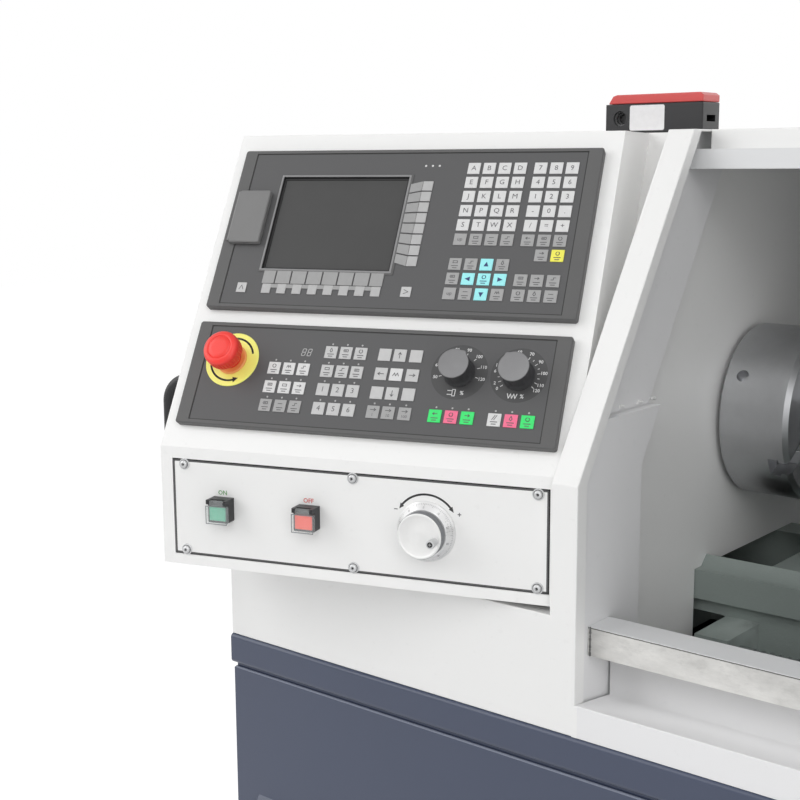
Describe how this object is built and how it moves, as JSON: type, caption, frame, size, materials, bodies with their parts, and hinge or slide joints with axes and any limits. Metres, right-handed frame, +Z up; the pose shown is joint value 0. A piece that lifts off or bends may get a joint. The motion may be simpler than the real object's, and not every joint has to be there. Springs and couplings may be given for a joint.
{
  "type": "turning lathe",
  "caption": "CNC turning lathe with a blue stand, white guarding with a sliding door and a slanted operator console with keypad, knobs and handwheel.",
  "frame": {"origin": "centre of the whole machine's footprint, on the floor", "axes": "+X along the spindle to the operator's right, +Y from the operator to the rear, +Z up"},
  "size_m": [1.9392, 1.2578, 1.5141],
  "materials": {
    "stand_blue": "semi-gloss blue grey paint",
    "guard_white": "white powder coat",
    "cabinet_grey": "light grey powder coat",
    "tank_grey": "grey paint",
    "motor_black": "black paint",
    "casting": "machined ways, grey-green painted sides",
    "steel": "ground and turned",
    "rail_zinc": "galvanised",
    "chrome": "polished",
    "plate_white": "white coated plate",
    "panel_grey": "fine-textured grey",
    "key_grey": "keypad foil",
    "display": "dark display pane",
    "black_plastic": "black",
    "knob_grey": "dark skirt with light cap",
    "stop_red": "red",
    "stop_yellow": "yellow",
    "lens_green": "translucent green",
    "lens_red": "translucent red",
    "clear": "clear plastic",
    "lid_red": "red",
    "window_clear": "clear safety pane",
    "nylon": "natural nylon",
    "belt_rubber": "ribbed belt",
    "wheel_silver": "satin"
  },
  "bodies": {
    "machine": {"base_cabinet": "stand_blue", "levelling_feet": "steel", "chip_tray": "stand_blue", "bed": "casting", "headstock": "casting", "spindle_bearings": "steel", "drive_belt": "belt_rubber", "spindle_motor": "motor_black", "z_motor": "motor_black", "headstock_hood": "guard_white", "tail_hood": "guard_white", "rear_guard": "guard_white", "jamb_liner": "guard_white", "sill_channel": "guard_white", "door_rails": "rail_zinc", "interlock_switch": "black_plastic", "interlock_lid": "lid_red", "console_housing": "guard_white", "console_plate": "plate_white", "plate_screws": "steel", "upper_panel": "panel_grey", "screen": "display", "upper_keys": "key_grey", "lower_panel": "panel_grey", "lower_keys": "key_grey", "stop_disc": "stop_yellow", "button_bodies": "black_plastic", "wheel_ring": "wheel_silver", "console_handle": "black_plastic", "electrical_cabinet": "cabinet_grey", "coolant_tank": "tank_grey"},
    "door": {"door_leaf": "guard_white", "door_window": "window_clear", "door_handle": "black_plastic", "door_glides": "nylon"},
    "flap": {"usb_cover": "panel_grey"},
    "spindle_override": {"spindle_knob": "knob_grey"},
    "feed_override": {"feed_knob": "knob_grey"},
    "stop_button": {"stop_head": "stop_red"},
    "on_button": {"on_lens": "lens_green"},
    "off_button": {"off_lens": "lens_red"},
    "on_cover": {"on_guard": "clear"},
    "off_cover": {"off_guard": "clear"},
    "handwheel": {"wheel_disc": "wheel_silver"},
    "spindle_unit": {"spindle": "steel", "chuck_body": "steel"},
    "motor_rotor": {"motor_pulley": "steel"},
    "jaw_1": {"chuck_jaw_1": "steel"},
    "jaw_2": {"chuck_jaw_2": "steel"},
    "jaw_3": {"chuck_jaw_3": "steel"},
    "carriage": {"saddle": "casting", "x_motor": "motor_black"},
    "long_screw": {"z_screw": "steel"},
    "cross": {"cross_slide": "casting", "turret_base": "casting"},
    "cross_screw": {"x_screw": "steel"},
    "turret": {"turret_head": "steel"},
    "tailstock": {"tailstock_body": "casting"},
    "quill": {"tailstock_quill": "chrome"},
    "rear_door": {"cabinet_door": "cabinet_grey"}
  },
  "joints": [
    {"name": "door_slide", "type": "slide", "parent": "machine", "child": "door", "axis": [1, 0, 0], "range_m": [-0.644, 0]},
    {"name": "flap_hinge", "type": "hinge", "parent": "machine", "child": "flap", "pos_m": [-0.91025, -0.50951, 1.35082], "axis": [0.1646, -0.5043, -0.8477], "range_deg": [0, 110]},
    {"name": "spindle_override_turn", "type": "hinge", "parent": "machine", "child": "spindle_override", "pos_m": [-0.60654, -0.47796, 1.22494], "axis": [0.2631, -0.8058, 0.5305], "range_deg": [-73, 157]},
    {"name": "feed_override_turn", "type": "hinge", "parent": "machine", "child": "feed_override", "pos_m": [-0.54713, -0.45857, 1.22494], "axis": [0.2631, -0.8058, 0.5305], "range_deg": [-171, 113]},
    {"name": "stop_push", "type": "slide", "parent": "machine", "child": "stop_button", "axis": [-0.2631, 0.8058, -0.5305], "range_m": [0, 0.0045]},
    {"name": "on_push", "type": "slide", "parent": "machine", "child": "on_button", "axis": [-0.3103, 0.9506, 0], "range_m": [0, 0.003], "stiffness_N_per_m": 300},
    {"name": "off_push", "type": "slide", "parent": "machine", "child": "off_button", "axis": [-0.3103, 0.9506, 0], "range_m": [0, 0.003], "stiffness_N_per_m": 300},
    {"name": "on_cover_flip", "type": "hinge", "parent": "machine", "child": "on_cover", "pos_m": [-0.8203, -0.62071, 1.0872], "axis": [-0.9506, -0.3103, 0], "range_deg": [0, 100]},
    {"name": "off_cover_flip", "type": "hinge", "parent": "machine", "child": "off_cover", "pos_m": [-0.72523, -0.58967, 1.0872], "axis": [-0.9506, -0.3103, 0], "range_deg": [0, 100]},
    {"name": "handwheel_turn", "type": "hinge", "parent": "machine", "child": "handwheel", "pos_m": [-0.60725, -0.53412, 1.0741], "axis": [0.3103, -0.9506, 0], "continuous": true},
    {"name": "spindle_spin", "type": "hinge", "parent": "machine", "child": "spindle_unit", "pos_m": [-0.90243, -0.07141, 1.15], "axis": [1, 0, 0], "continuous": true},
    {"name": "motor_spin", "type": "hinge", "parent": "machine", "child": "motor_rotor", "pos_m": [-0.89243, -0.07141, 0.52], "axis": [1, 0, 0], "continuous": true},
    {"name": "jaw_1_slide", "type": "slide", "parent": "spindle_unit", "child": "jaw_1", "axis": [0, 0, 1], "range_m": [-0.006, 0.016]},
    {"name": "jaw_2_slide", "type": "slide", "parent": "spindle_unit", "child": "jaw_2", "axis": [0, -0.866, -0.5], "range_m": [-0.006, 0.016]},
    {"name": "jaw_3_slide", "type": "slide", "parent": "spindle_unit", "child": "jaw_3", "axis": [0, 0.866, -0.5], "range_m": [-0.006, 0.016]},
    {"name": "long_feed", "type": "slide", "parent": "machine", "child": "carriage", "axis": [1, 0, 0], "range_m": [-0.14, 0.3]},
    {"name": "long_screw_spin", "type": "hinge", "parent": "machine", "child": "long_screw", "pos_m": [-0.45143, -0.23941, 0.9], "axis": [1, 0, 0], "continuous": true},
    {"name": "cross_feed", "type": "slide", "parent": "carriage", "child": "cross", "axis": [0, 1, 0], "range_m": [-0.05, 0.09]},
    {"name": "cross_screw_spin", "type": "hinge", "parent": "carriage", "child": "cross_screw", "pos_m": [-0.05043, -0.07141, 1.012], "axis": [0, 1, 0], "continuous": true},
    {"name": "turret_index", "type": "hinge", "parent": "cross", "child": "turret", "pos_m": [-0.05043, -0.25641, 1.118], "axis": [0, 0, 1], "continuous": true},
    {"name": "tailstock_slide", "type": "slide", "parent": "machine", "child": "tailstock", "axis": [1, 0, 0], "range_m": [-0.3, 0.03]},
    {"name": "quill_slide", "type": "slide", "parent": "tailstock", "child": "quill", "axis": [1, 0, 0], "range_m": [-0.1, 0]},
    {"name": "rear_door_hinge", "type": "hinge", "parent": "machine", "child": "rear_door", "pos_m": [0.33557, 0.60989, 0.99], "axis": [0, 0, -1], "range_deg": [0, 110]}
  ],
  "couplings": [
    {"joint": "motor_spin", "follows": "spindle_spin", "ratio": 1.5},
    {"joint": "jaw_2_slide", "follows": "jaw_1_slide", "ratio": 1},
    {"joint": "jaw_3_slide", "follows": "jaw_1_slide", "ratio": 1},
    {"joint": "long_screw_spin", "follows": "long_feed", "rad_per_m": 628.32},
    {"joint": "cross_screw_spin", "follows": "cross_feed", "rad_per_m": 1256.6}
  ]
}
